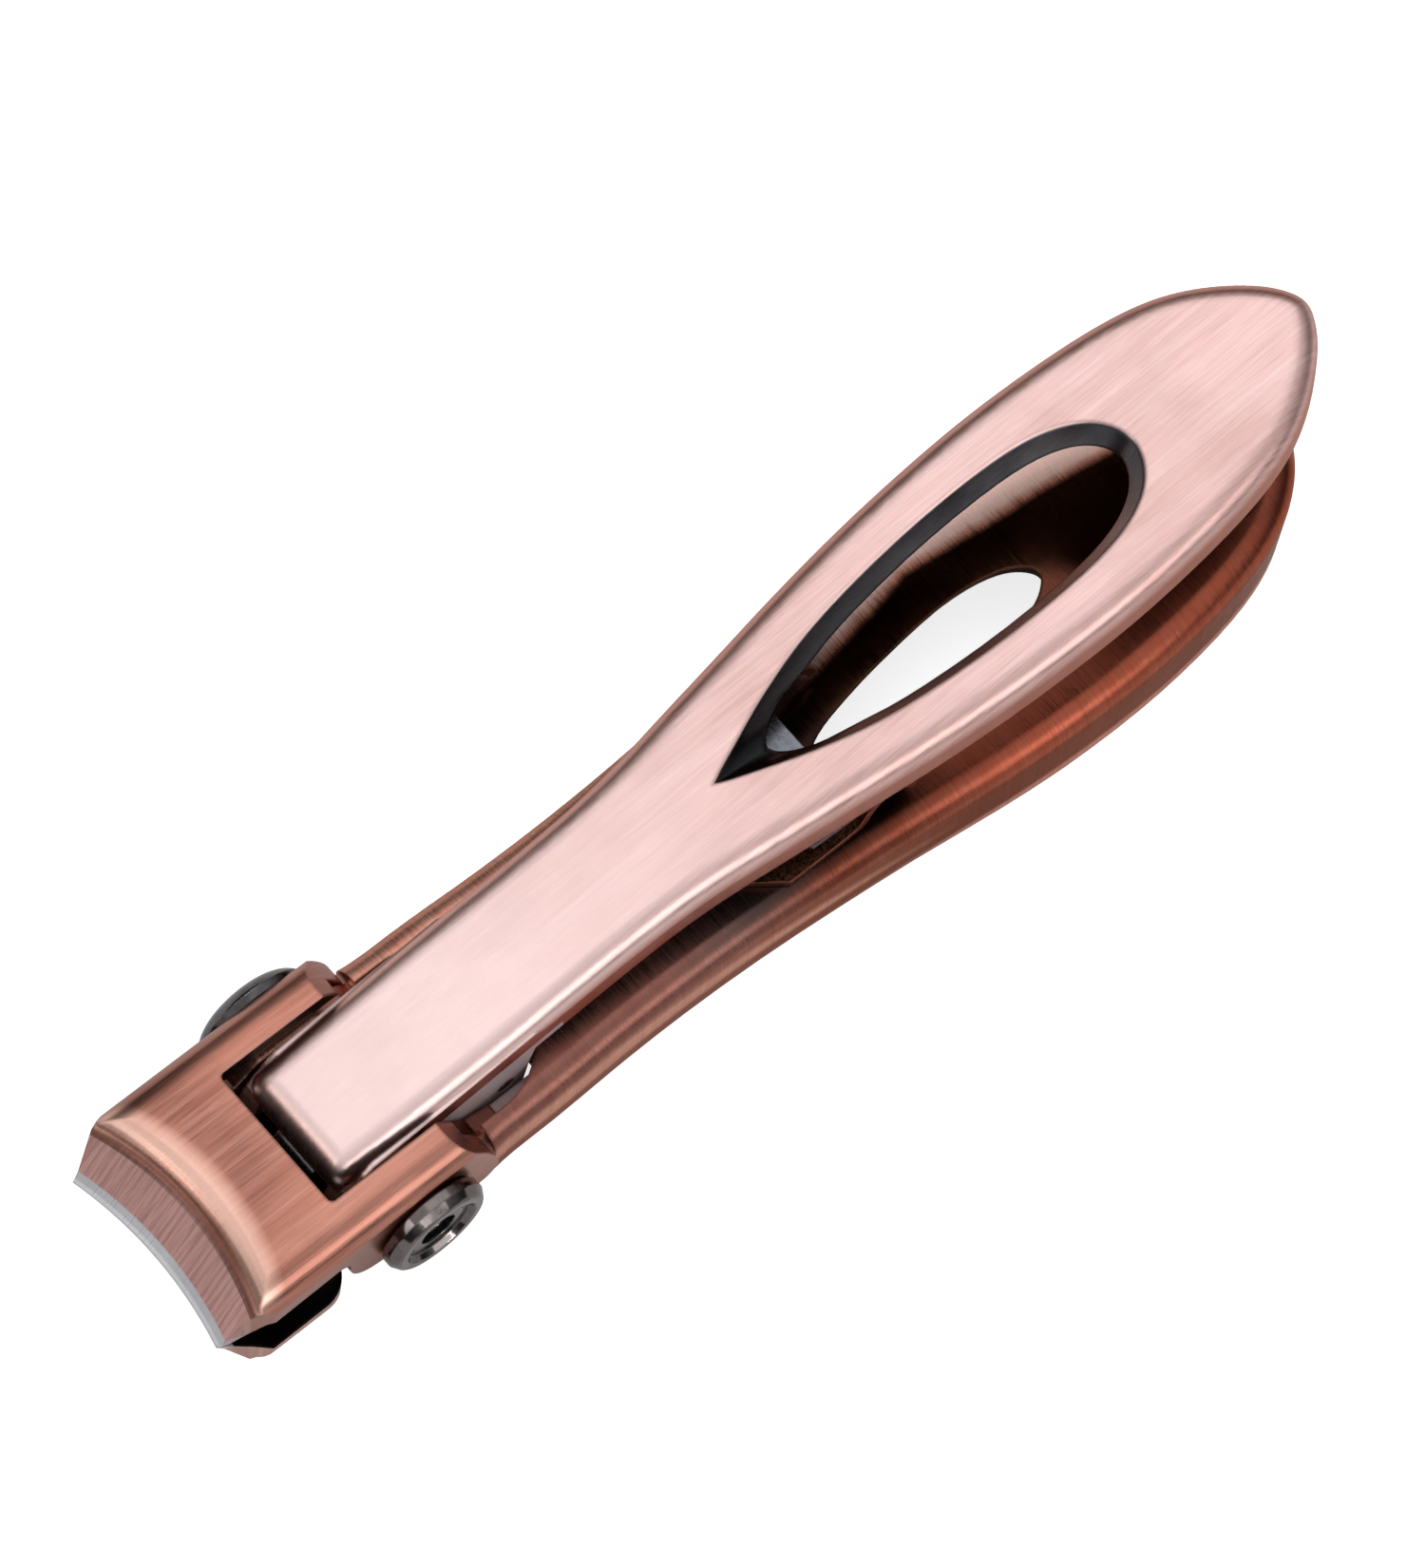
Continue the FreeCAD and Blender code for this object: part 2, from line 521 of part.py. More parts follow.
def build_lower_handle():
    body = handle_block(HANDLE_FRONT).cut(above_handle())
    body = fillet_some(body, 1.7, on_handle_top)
    # underside is level at the tail and rises slightly towards the jaws
    body = body.cut(plate_xz(HANDLE_UNDERSIDE, -20, 20))
    # channel under the top plate, open at the front
    body = body.cut(handle_block(2.0, HANDLE_T).cut(above_handle(HANDLE_T)))
    # slot for the lever's ears, round at the rear
    ellipse = Part.Ellipse(Vector(LEVER_SLOT_X, 0, 0), LEVER_SLOT_HALF, LEVER_SLOT_REACH)
    ellipse.XAxis = Vector(0, 1, 0)
    slot_end = Part.Face(Part.Wire([ellipse.toShape()])).extrude(Vector(0, 0, 20))
    body = body.cut(slot_end)
    body = body.cut(box(2.0, LEVER_SLOT_X, -LEVER_SLOT_HALF, LEVER_SLOT_HALF, -1, 20))
    # window whose wall flares downwards
    lower = oval_wire(HOLE_TIP - 1.6 * HOLE_FLARE, HOLE_END + HOLE_FLARE,
                      inset_half(HOLE_TIP, HOLE_END, HOLE, -HOLE_FLARE), 0.0)
    lower.translate(Vector(0, 0, PIVOT_Z - 0.4))
    upper = oval_wire(HOLE_TIP, HOLE_END, HOLE, PIVOT_Z + 2.6)
    body = body.cut(positive(Part.makeLoft([lower, upper], True, True)))
    # ears inside the upper jaw's ears; they run on as arms beside the slot
    ear_in, ear_out = HANDLE_EAR_Y
    for ear_span, web_span in zip(both_spans(ear_in, ear_out), both_spans(ear_in, 7.2)):
        ear = plate_xz(HANDLE_EAR, *ear_span, rise=PIVOT_Z)
        web = box(HANDLE_FRONT, 7.6, *web_span, PIVOT_Z - 2.6, PIVOT_Z + 0.1)
        body = body.fuse(ear).fuse(web)
    # bar across, under the end of the slot
    body = body.fuse(box(12.15, 13.4, -6.2, 6.2, PIVOT_Z - 2.8, PIVOT_Z - 1.5))
    body = body.cut(bore(SHANK_R + SNUG))
    body = body.cut(cyl_y(STUD_AT[0], PIVOT_Z + STUD_AT[1], PIN_R, -6.6, 6.6))
    return biggest(cut_spring_rivet_holes(body))


# ---------------------------------------------------------------- springs
def strip(path, half_width, thickness, steps=48):
    """Leaf of constant width; path is x, z along its middle line."""
    curve = Part.BSplineCurve()
    curve.interpolate([Vector(x, 0, z) for x, z in path])
    first, last = curve.FirstParameter, curve.LastParameter
    upper, lower = [], []
    for i in range(steps + 1):
        parameter = first + (last - first) * i / steps
        point = curve.value(parameter)
        along = curve.tangent(parameter)[0]
        normal = Vector(-along.z, 0, along.x)
        upper.append(point + normal * (thickness / 2))
        lower.append(point - normal * (thickness / 2))
    wire = Part.Wire([spline_edge(upper), Part.makeLine(upper[-1], lower[-1]),
                      spline_edge(lower), Part.makeLine(lower[0], upper[0])])
    face = Part.Face(wire)
    face.translate(Vector(0, -half_width, 0))
    return face.extrude(Vector(0, 2 * half_width, 0))


def leaf_plan(root_span, fan):
    """Tall block over a leaf's plan: narrow root in front, widening fan behind."""
    root_half = fan[0][1]
    root = box(*root_span, -root_half, root_half, 0, 20)
    corners = [Vector(x, -half, 0) for x, half in fan]
    corners += [Vector(x, half, 0) for x, half in reversed(fan)]
    face = Part.Face(Part.makePolygon(corners + corners[:1]))
    return root.fuse(face.extrude(Vector(0, 0, 20)))


def build_lower_leaf():
    lift = LOWER_LEAF_T / 2 + 0.03
    path = [(x, handle_top(read_x) + lift + height)
            for x, read_x, height in LOWER_LEAF_LINE]
    body = strip(path, LOWER_LEAF_FAN[-1][1], LOWER_LEAF_T)
    # a round-cornered gap splits the fan into two prongs with humped ends
    gap = box(33.2, 44, -3.4, 3.4, 0, 20)
    gap = fillet_some(gap, 2.4, lambda edge: edge.BoundBox.ZLength > 19
                      and edge.BoundBox.XMax < 33.3)
    body = body.common(leaf_plan(LOWER_LEAF_ROOT, LOWER_LEAF_FAN).cut(gap))
    return biggest(cut_spring_rivet_holes(body))


def build_upper_leaf():
    # eye round its pin, then back under the lever and down to the humps
    eye_x, eye_z = LEAF_PIN_AT[0], PIVOT_Z + LEAF_PIN_AT[1]
    eye = tube_y(LEAF_PIN_AT, EYE_R + EYE_T, EYE_R, -EYE_HALF, EYE_HALF)
    path = [(eye_x + 0.25, eye_z + EYE_R + 0.27), (eye_x + 1.6, eye_z + 1.55)]
    path += [(x, PIVOT_Z + height) for x, height in UPPER_LEAF_LINE]
    body = strip(path, UPPER_LEAF_FAN[-1][1], UPPER_LEAF_T)
    body = body.common(leaf_plan(UPPER_LEAF_ROOT, UPPER_LEAF_FAN))
    body = body.fuse(eye)
    body = body.cut(cyl_y(eye_x, eye_z, EYE_R, -3, 3))
    return biggest(body)


def build_spring_rivets():
    rivets = []
    for x in SPRING_RIVET_X:
        top = handle_top(x) + LOWER_LEAF_T + 0.07
        bottom = handle_top(x) - HANDLE_T - 0.06
        shank = Part.makeCylinder(SPRING_RIVET_R, top - bottom, Vector(x, 0, bottom))
        # short piece that carries the shank into the upper head
        neck = Part.makeCylinder(SPRING_RIVET_R, 0.3, Vector(x, 0, top - 0.05))
        upper_head = Part.makeCone(1.6, 1.0, 0.55, Vector(x, 0, top + 0.02))
        lower_head = Part.makeCone(1.0, 1.7, 0.6, Vector(x, 0, bottom - 0.6))
        rivet = shank.fuse(neck).fuse(upper_head).fuse(lower_head)
        rivets.append(biggest(rivet.removeSplitter()))
    return Part.makeCompound(rivets)


# ---------------------------------------------------------------- pivot stack and pins
def turned(wire):
    """Revolve a section drawn in the XY plane about Y, then lift it to the pivot."""
    solid = Part.Face(wire).revolve(Vector(0, 0, 0), Vector(0, 1, 0), 360)
    solid = positive(solid)
    solid.translate(Vector(0, 0, PIVOT_Z))
    return solid


def build_rivet():
    # shank, domed head on the +Y side, dished end inside the cap on the -Y side
    shank = cyl_y(0, PIVOT_Z, SHANK_R, -(RIVET_FACE + CAP_T - 0.35), RIVET_FACE)
    dome = [Vector(radius, RIVET_FACE + height, 0) for radius, height in DOME]
    seat_rim = Vector(HEAD_R - 0.15, RIVET_FACE, 0)
    seat_centre = Vector(0, RIVET_FACE, 0)
    head = turned(Part.Wire([spline_edge(dome), Part.makeLine(dome[-1], seat_rim),
                             Part.makeLine(seat_rim, seat_centre),
                             Part.makeLine(seat_centre, dome[0])]))
    body = shank.fuse(head)
    cap_face = RIVET_FACE + CAP_T
    body = body.cut(cyl_y(0, PIVOT_Z, DISH_R, -cap_face, -(cap_face - DISH_DEPTH)))
    return biggest(body.removeSplitter())


def build_cap():
    # ring with a chamfered barrel, a raised rim and a recess round the rivet end
    points = [Vector(radius, -(RIVET_FACE + height), 0) for radius, height in CAP_SECTION]
    return turned(Part.makePolygon(points + points[:1]))


def build_washers():
    return Part.makeCompound([tube_y((0, 0), WASHER_R, SHANK_R + SNUG, *span)
                              for span in both_spans(*WASHER_Y)])


def build_spacer():
    return tube_y((0, 0), SPACER_R, SHANK_R + RUN, -SPACER_HALF, SPACER_HALF)


def pin(at, y_min, y_max):
    return cyl_y(at[0], PIVOT_Z + at[1], PIN_R - PIN_CLEAR, y_min, y_max)


def build_studs():
    return Part.makeCompound([pin(STUD_AT, *span) for span in both_spans(*STUD_Y)])


def build_lock_pin():
    return pin(LOCK_PIN_AT, -PIN_HALF, PIN_HALF)


def build_leaf_pin():
    return pin(LEAF_PIN_AT, -PIN_HALF, PIN_HALF)


# ---------------------------------------------------------------- output
BUILDERS = {
    "upper_jaw": build_upper_jaw,
    "lower_jaw": build_lower_jaw,
    "lever": build_lever,
    "lower_handle": build_lower_handle,
    "pivot_rivet": build_rivet,
    "rivet_cap": build_cap,
    "pivot_washers": build_washers,
    "pivot_spacer": build_spacer,
    "jaw_lock_studs": build_studs,
    "lever_lock_pin": build_lock_pin,
    "upper_leaf_pin": build_leaf_pin,
    "upper_leaf_spring": build_upper_leaf,
    "lower_leaf_spring": build_lower_leaf,
    "spring_rivets": build_spring_rivets,
}

os.makedirs("parts", exist_ok=True)
for part_name, build in BUILDERS.items():
    save(part_name, build())
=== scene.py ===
"""Looks and studio for a copper-plated clipper with a lever and two jaws.

The clipper lies along x on the floor: the cutting edges are at the front (-x), the lever and
handle run back to +x, the width is along y with the near side at -y, and z is up. Lengths are
in metres, colours are linear RGB. Masks are 0 to 1 and are worked out in object space.
"""
import math
import random

import bpy
from mathutils import Matrix, Vector

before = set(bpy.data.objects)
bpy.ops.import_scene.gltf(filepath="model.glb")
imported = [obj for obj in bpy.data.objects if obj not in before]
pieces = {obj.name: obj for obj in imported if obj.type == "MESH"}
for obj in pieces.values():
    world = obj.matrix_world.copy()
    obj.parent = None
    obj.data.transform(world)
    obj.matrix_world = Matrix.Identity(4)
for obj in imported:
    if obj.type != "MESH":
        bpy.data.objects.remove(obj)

# Nothing below draws at random; the seed fixes the state for any code that does.
random.seed(7)
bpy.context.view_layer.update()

LEVER_TILT = math.radians(8.04)
DATUM_Z = 0.0042                    # the jaw heights and the camera target start here
CUT_EDGE_Z = DATUM_Z + 0.00054
BEVEL_BACK_X = -0.0128              # the ground bevels lie in front of this
BEVEL_FADE = dict(start=0.00080, end=0.00070)   # distance from the cutting edge
UNDERSIDE = dict(start=-0.2, end=-0.6)          # z of a downward normal

COPPER_PALE = (0.94, 0.66, 0.60)
COPPER_DARK = (0.30, 0.115, 0.075)
# Painted shade for faces that look down
UNDERSIDE_SHADE_BROWN = (0.05, 0.035, 0.032)


# ---------------------------------------------------------------- shader helpers
class Value:
    """A node output; each piece of arithmetic on it adds a Math node."""

    def __init__(self, nodes, socket):
        self.nodes = nodes
        self.socket = socket

    def __add__(self, other):
        return self.nodes.math("ADD", self, other)

    def __radd__(self, other):
        return self.nodes.math("ADD", other, self)

    def __sub__(self, other):
        return self.nodes.math("SUBTRACT", self, other)

    def __rsub__(self, other):
        return self.nodes.math("SUBTRACT", other, self)

    def __mul__(self, other):
        return self.nodes.math("MULTIPLY", self, other)

    def __lt__(self, other):
        return self.nodes.math("LESS_THAN", self, other)

    def __gt__(self, other):
        return self.nodes.math("GREATER_THAN", self, other)

    def __abs__(self):
        return self.nodes.math("ABSOLUTE", self)

    def between(self, low, high):
        return (self > low) * (self < high)

    def ramp(self, start, end, at_start=0.0, at_end=1.0):
        """Run from at_start to at_end as the value goes from start to end, held outside."""
        return self.nodes.value("ShaderNodeMapRange", {
            "Value": self, "From Min": start, "From Max": end,
            "To Min": at_start, "To Max": at_end})


class Nodes:
    """Builds a node tree from empty."""

    def __init__(self, tree):
        self.tree = tree
        tree.nodes.clear()

    def feed(self, socket, value):
        if isinstance(value, Value):
            self.tree.links.new(value.socket, socket)
        elif socket.type == "RGBA":
            socket.default_value = (*value, 1.0)
        else:
            socket.default_value = value

    def node(self, kind, inputs=(), **settings):
        node = self.tree.nodes.new(kind)
        for name, setting in settings.items():
            setattr(node, name, setting)
        for socket, value in dict(inputs).items():
            self.feed(node.inputs[socket], value)
        return node

    def value(self, kind, inputs=(), output=0, **settings):
        return Value(self, self.node(kind, inputs, **settings).outputs[output])

    def math(self, operation, first, second=0.0, clamp=False):
        return self.value("ShaderNodeMath", {0: first, 1: second},
                          operation=operation, use_clamp=clamp)

    def separate(self, vector):
        node = self.node("ShaderNodeSeparateXYZ", {0: vector})
        return [Value(self, output) for output in node.outputs]

    def mix(self, amount, under, over):
        return self.value("ShaderNodeMix", {0: amount, 6: under, 7: over}, output=2,
                          data_type="RGBA")


class Surface(Nodes):
    """A material with one Principled shader, whose colour is painted in layers."""

    def __init__(self, name, colour):
        self.material = bpy.data.materials.new(name)
        self.material.use_nodes = True
        super().__init__(self.material.node_tree)
        self.principled = self.node("ShaderNodeBsdfPrincipled")
        self.node("ShaderNodeOutputMaterial", {0: Value(self, self.principled.outputs[0])})
        self.colour = colour

    def set(self, inputs):
        for socket, value in inputs.items():
            self.feed(self.principled.inputs[socket], value)

    def paint(self, mask, colour, amount=None):
        self.colour = self.mix(mask if amount is None else mask * amount, self.colour, colour)

    def shade(self, factor):
        grey = self.value("ShaderNodeCombineColor", {0: factor, 1: factor, 2: factor})
        self.colour = self.value("ShaderNodeMix", {0: 1.0, 6: self.colour, 7: grey}, output=2,
                                 data_type="RGBA", blend_type="MULTIPLY")

    def object_vector(self, tilt=0.0):
        coordinates = self.value("ShaderNodeTexCoord", output="Object")
        return self.value("ShaderNodeMapping",
                          {"Rotation": (0, tilt, 0), "Vector": coordinates})

    def object_normal(self, tilt):
        """Components of the normal in object space, so masks follow a posed piece."""
        world_normal = self.value("ShaderNodeNewGeometry", output="Normal")
        normal = self.value("ShaderNodeVectorTransform", {0: world_normal},
                            vector_type="NORMAL", convert_from="WORLD", convert_to="OBJECT")
        return self.separate(self.value("ShaderNodeMapping",
                                        {"Rotation": (0, tilt, 0), "Vector": normal},
                                        vector_type="NORMAL"))

    def noise(self, vector, scale, detail, roughness, offset=(0, 0, 0)):
        scaled = self.value("ShaderNodeMapping",
                            {"Scale": scale, "Location": offset, "Vector": vector})
        return self.value("ShaderNodeTexNoise", {
            "Scale": 1.0, "Detail": detail, "Roughness": roughness, "Vector": scaled})

    def rounded_edges(self, radius):
        """Return a mask of the edges, and the normal that rounds them."""
        rounded = self.value("ShaderNodeBevel", {"Radius": radius}, samples=4)
        flat = self.value("ShaderNodeNewGeometry", output="True Normal")
        agreement = self.value("ShaderNodeVectorMath", {0: rounded, 1: flat}, output="Value",
                               operation="DOT_PRODUCT")
        return agreement.ramp(start=0.985, end=0.80), rounded

    def bump(self, height, strength, distance, normal):
        return self.value("ShaderNodeBump", {
            "Strength": strength, "Distance": distance, "Height": height, "Normal": normal})


# Noise scales along x, y and z that stretch the brush marks along x or along y
BRUSH_SCALES = {
    "x": dict(fine=(330, 11500, 330), middle=(150, 4200, 150), wide=(60, 900, 60)),
    "y": dict(fine=(11500, 330, 330), middle=(4200, 150, 150), wide=(700, 60, 60)),
}


class Plating(Surface):
    """Brushed, antiqued plating, with the brush marks along x or y."""

    def __init__(self, name, base, pale, dark, along, roughness, streak, mottling, tilt=0.0):
        super().__init__(name, base)
        vector = self.object_vector(tilt)
        self.position = self.separate(vector)
        self.normal = self.object_normal(tilt)

        scales = BRUSH_SCALES[along]
        self.fine = self.noise(vector, scales["fine"], detail=2.0, roughness=0.6)
        self.middle = self.noise(vector, scales["middle"], detail=4.0, roughness=0.65,
                                 offset=(3, 1, 2))
        self.wide = self.noise(vector, scales["wide"], detail=4.0, roughness=0.6,
                               offset=(1, 5, 2))
        self.blotches = self.noise(vector, (70, 110, 110), detail=4.0, roughness=0.6,
                                   offset=(4, 4, 4))
        self.paint(self.wide.ramp(start=0.35, end=0.65), pale)
        self.paint(self.blotches.ramp(start=0.50, end=0.72, at_end=mottling), dark)
        self.shade(self.fine.ramp(start=0.30, end=0.70, at_start=1.0 - streak,
                                  at_end=1.0 + streak * 0.5))
        self.shade(self.middle.ramp(start=0.30, end=0.70, at_start=1.0 - streak * 0.8,
                                    at_end=1.0 + streak * 0.4))

        # Fine dark specks, only within the blotches
        distance = self.value("ShaderNodeTexVoronoi", {"Scale": 330, "Vector": vector},
                              output="Distance")
        specks = (distance.ramp(start=0.035, end=0.02)
                  * self.blotches.ramp(start=0.52, end=0.6))
        self.paint(specks, colour=(0.05, 0.025, 0.02))
        edges, self.edge_normal = self.rounded_edges(radius=0.00028)
        self.paint(edges, colour=COPPER_PALE, amount=0.45)

        self.roughness = (
            self.fine.ramp(start=0.3, end=0.7, at_start=roughness - 0.05,
                           at_end=roughness + 0.06)
            + self.blotches.ramp(start=0.3, end=0.7, at_start=-0.03, at_end=0.05))
        self.height = self.fine + self.middle * 0.8
        self.metallic = 1.0
        self.tangent = (math.cos(tilt), 0, math.sin(tilt)) if along == "x" else (0, 1, 0)

    def finish(self):
        """Connect what has been built up to the shader and return the material."""
        self.set({
            "Base Color": self.colour,
            "Roughness": self.roughness,
            "Metallic": self.metallic,
            "Anisotropic": 0.5,
            "Tangent": self.value("ShaderNodeCombineXYZ", enumerate(self.tangent)),
            "Normal": self.bump(self.height, strength=0.22, distance=0.00002,
                                normal=self.edge_normal),
        })
        return self.material


# ---------------------------------------------------------------- plated pieces
def lever_material():
    coat = Plating("lever_rose", base=(0.87, 0.572, 0.540), pale=(0.92, 0.640, 0.612),
                   dark=(0.70, 0.40, 0.34), along="x", tilt=LEVER_TILT,
                   roughness=0.34, streak=0.16, mottling=0.30)
    x, y, z = coat.position
    _, ny, nz = coat.normal

    # Window: widens towards the back up to a constant half width
    front_x, front_half_width, widening, full_half_width = 0.0300, 0.0024, 0.36, 0.0052
    half_width = coat.math("MINIMUM", (x - front_x) * widening + front_half_width,
                           full_half_width)
    window = (abs(y) < half_width) * x.between(low=0.0285, high=0.0675)
    wall = window * z.ramp(start=0.00914, end=0.00907)
    # Window walls: dark gunmetal, with a painted highlight in paler grey that grows towards
    # the back
    gunmetal_with_highlight = coat.mix(
        coat.blotches.ramp(start=0.35, end=0.65) * x.ramp(start=0.036, end=0.052),
        under=(0.035, 0.036, 0.040), over=(0.17, 0.175, 0.19))
    # Ears under the front end
    ear = (z < 0.00640) * (x < 0.0145)

    # Paler towards the front; painted shade, brown, on the flanks
    coat.paint(x.ramp(start=0.036, end=0.010), colour=(0.985, 0.755, 0.725), amount=0.85)
    coat.set({"Specular Tint": (0.95, 0.66, 0.58)})
    shaded_flank = (1.0 - window) * nz.ramp(start=0.50, end=0.05)
    coat.paint(shaded_flank, colour=COPPER_DARK, amount=0.62)
    coat.paint(wall, colour=gunmetal_with_highlight)
    # Ears: painted shade, black, at the tip; bare grey behind it
    coat.paint(ear, colour=coat.mix(x.ramp(start=0.003, end=0.005),
                                    under=(0.03, 0.026, 0.027), over=(0.50, 0.44, 0.46)))

    # Painted shade, red, on the outer roll, strongest on the far side, and a painted
    # highlight, pale, on the rim round the window
    window_rim_highlight = window * nz.ramp(start=0.985, end=0.90)
    roll = (1.0 - window) * nz.ramp(start=0.985, end=0.86)
    coat.paint(roll * ny.ramp(start=-0.25, end=0.1, at_start=0.25),
               colour=(0.60, 0.22, 0.13), amount=0.45)
    coat.paint(coat.math("SUBTRACT", window_rim_highlight, wall, clamp=True), colour=COPPER_PALE, amount=0.6)
    # Painted shade on the underside, apart from the ears
    coat.paint(nz.ramp(**UNDERSIDE) * (1.0 - ear), colour=UNDERSIDE_SHADE_BROWN)

    wall_roughness, ear_metal_loss = -0.06, 0.75
    coat.roughness = coat.roughness + wall * wall_roughness
    coat.metallic = 1.0 - ear * ear_metal_loss
    return coat.finish()


def paint_handle_walls(coat):
    """Painted light and shade on the handle's rolled edge and upright walls."""
    x, y, z = coat.position
    nz = coat.normal[2]
    upright = nz.ramp(start=0.45, end=0.05)
    roll = nz.ramp(start=0.96, end=0.70) * (1.0 - upright)
    coat.paint(roll, colour=(0.84, 0.45, 0.34), amount=0.30)

    # Walls: red brown, with a bright band in front under a top line that falls towards +x
    front = x.ramp(start=0.044, end=0.034)
    wall = coat.mix(front, under=(0.17, 0.034, 0.014), over=(0.30, 0.095, 0.055))
    line_x, line_z, line_fall = 0.012, 0.0052, 0.075
    top_line = line_z - (x - line_x) * line_fall
    band = (z.ramp(start=0.0020, end=0.0027)
            * (top_line - z).ramp(start=-0.0002, end=0.0008))
    band_strength = 0.97
    wall = coat.mix(band * front * band_strength, under=wall, over=(1.0, 0.60, 0.47))
    # Foot line
    wall = coat.mix(z.ramp(start=0.0013, end=0.0008), under=wall,
                    over=coat.mix(front, under=(0.86, 0.52, 0.43), over=(0.46, 0.26, 0.21)))
    coat.paint(upright, colour=wall, amount=0.92)

    # Painted shade on the near side of the top, darker in front
    side = y.ramp(start=-0.0030, end=-0.0045) * (1.0 - upright)
    side_colour = coat.mix(x.ramp(start=0.048, end=0.038),
                           under=(0.40, 0.088, 0.046), over=(0.15, 0.030, 0.015))
    coat.paint(side, colour=side_colour, amount=0.92)


def paint_handle_shadow(coat):
    """Painted shadow on the flat top, on the near side of a bent line; painted light, pale,
    beyond the line.
    """
    x, y, _ = coat.position
    nz = coat.normal[2]
    # Each leg passes through (x, y) with a slope; the blotches make the line wander
    back_x, back_y, back_slope = 0.0504, 0.00540, -0.12
    front_x, front_y, front_slope = 0.0460, 0.0046, 0.19
    blotch_middle, wander = 0.5, 0.0016
    line = back_y + (x - back_x) * back_slope
    line = coat.math("MINIMUM", line, front_y + (x - front_x) * front_slope)
    line = line + (coat.blotches - blotch_middle) * wander

    flat = dict(start=0.80, end=0.95)
    shadow_patch = (line - y).ramp(start=0.0, end=0.0005) * (y > -0.0055)
    shadow_patch = shadow_patch * (x.ramp(start=0.030, end=0.034) * x.ramp(start=0.072, end=0.068))
    shadow_patch = shadow_patch * nz.ramp(**flat)
    lit_beyond = ((y - line).ramp(start=0.0, end=0.0005)
              * (x.ramp(start=0.034, end=0.038) * nz.ramp(**flat)))
    coat.paint(lit_beyond, colour=(1.0, 0.70, 0.62), amount=0.85)
    shadow_brown = coat.mix(coat.blotches.ramp(start=0.4, end=0.66),
                     under=(0.020, 0.010, 0.008), over=(0.13, 0.050, 0.026))
    coat.paint(shadow_patch, colour=shadow_brown, amount=0.97)
    patch_roughness = -0.16
    coat.roughness = coat.roughness + shadow_patch * patch_roughness


def handle_material():
    coat = Plating("handle_rose", base=(0.62, 0.235, 0.150), pale=(0.76, 0.34, 0.24),
                   dark=(0.24, 0.075, 0.045), along="y",
                   roughness=0.28, streak=0.15, mottling=0.28)
    x, y, z = coat.position
    nz = coat.normal[2]
    off_centre = abs(y)

    paint_handle_walls(coat)
    coat.shade(coat.middle.ramp(start=0.30, end=0.70, at_start=0.86, at_end=1.10))
    coat.set({"Specular Tint": (0.84, 0.62, 0.55)})
    coat.paint(coat.wide.ramp(start=0.45, end=0.75, at_end=0.16), colour=COPPER_DARK)
    paint_handle_shadow(coat)

    # Painted shade, near black, on the waist, with an edge roughened by the brush marks
    edge_roughening = 0.0008
    waist_shade = x.ramp(start=0.021, end=0.028) * x.ramp(start=0.0445, end=0.0395)
    waist_shade = waist_shade * (off_centre + coat.middle * edge_roughening).ramp(start=0.0077, end=0.0066)
    coat.paint(waist_shade, colour=(0.016, 0.008, 0.007), amount=0.93)

    # Painted shade on the near half of the top, behind the waist
    behind = (x.ramp(start=0.040, end=0.050) * off_centre.ramp(start=0.0078, end=0.0060)
              * nz.ramp(start=0.45, end=0.75))
    coat.paint(behind * (y < 0.0), colour=(0.10, 0.028, 0.018), amount=0.62)

    # Low grey arms at the front
    arm = (z < 0.00415) * ((off_centre < 0.00655) * (x < 0.0136))
    coat.paint(arm, colour=(0.34, 0.285, 0.305))
    arm_metal_loss = 0.8
    coat.metallic = 1.0 - arm * arm_metal_loss

    # Cut walls of the hole, painted shade on the underside, and a slight pale tint towards the
    # front
    cut = (nz.ramp(start=0.6, end=0.3) * x.between(low=0.030, high=0.0625)
           * (off_centre < 0.0050))
    coat.paint(cut, colour=(0.02, 0.014, 0.013))
    coat.paint(nz.ramp(**UNDERSIDE), colour=UNDERSIDE_SHADE_BROWN)
    coat.paint(x.ramp(start=0.034, end=0.026), colour=COPPER_PALE, amount=0.10)
    return coat.finish()


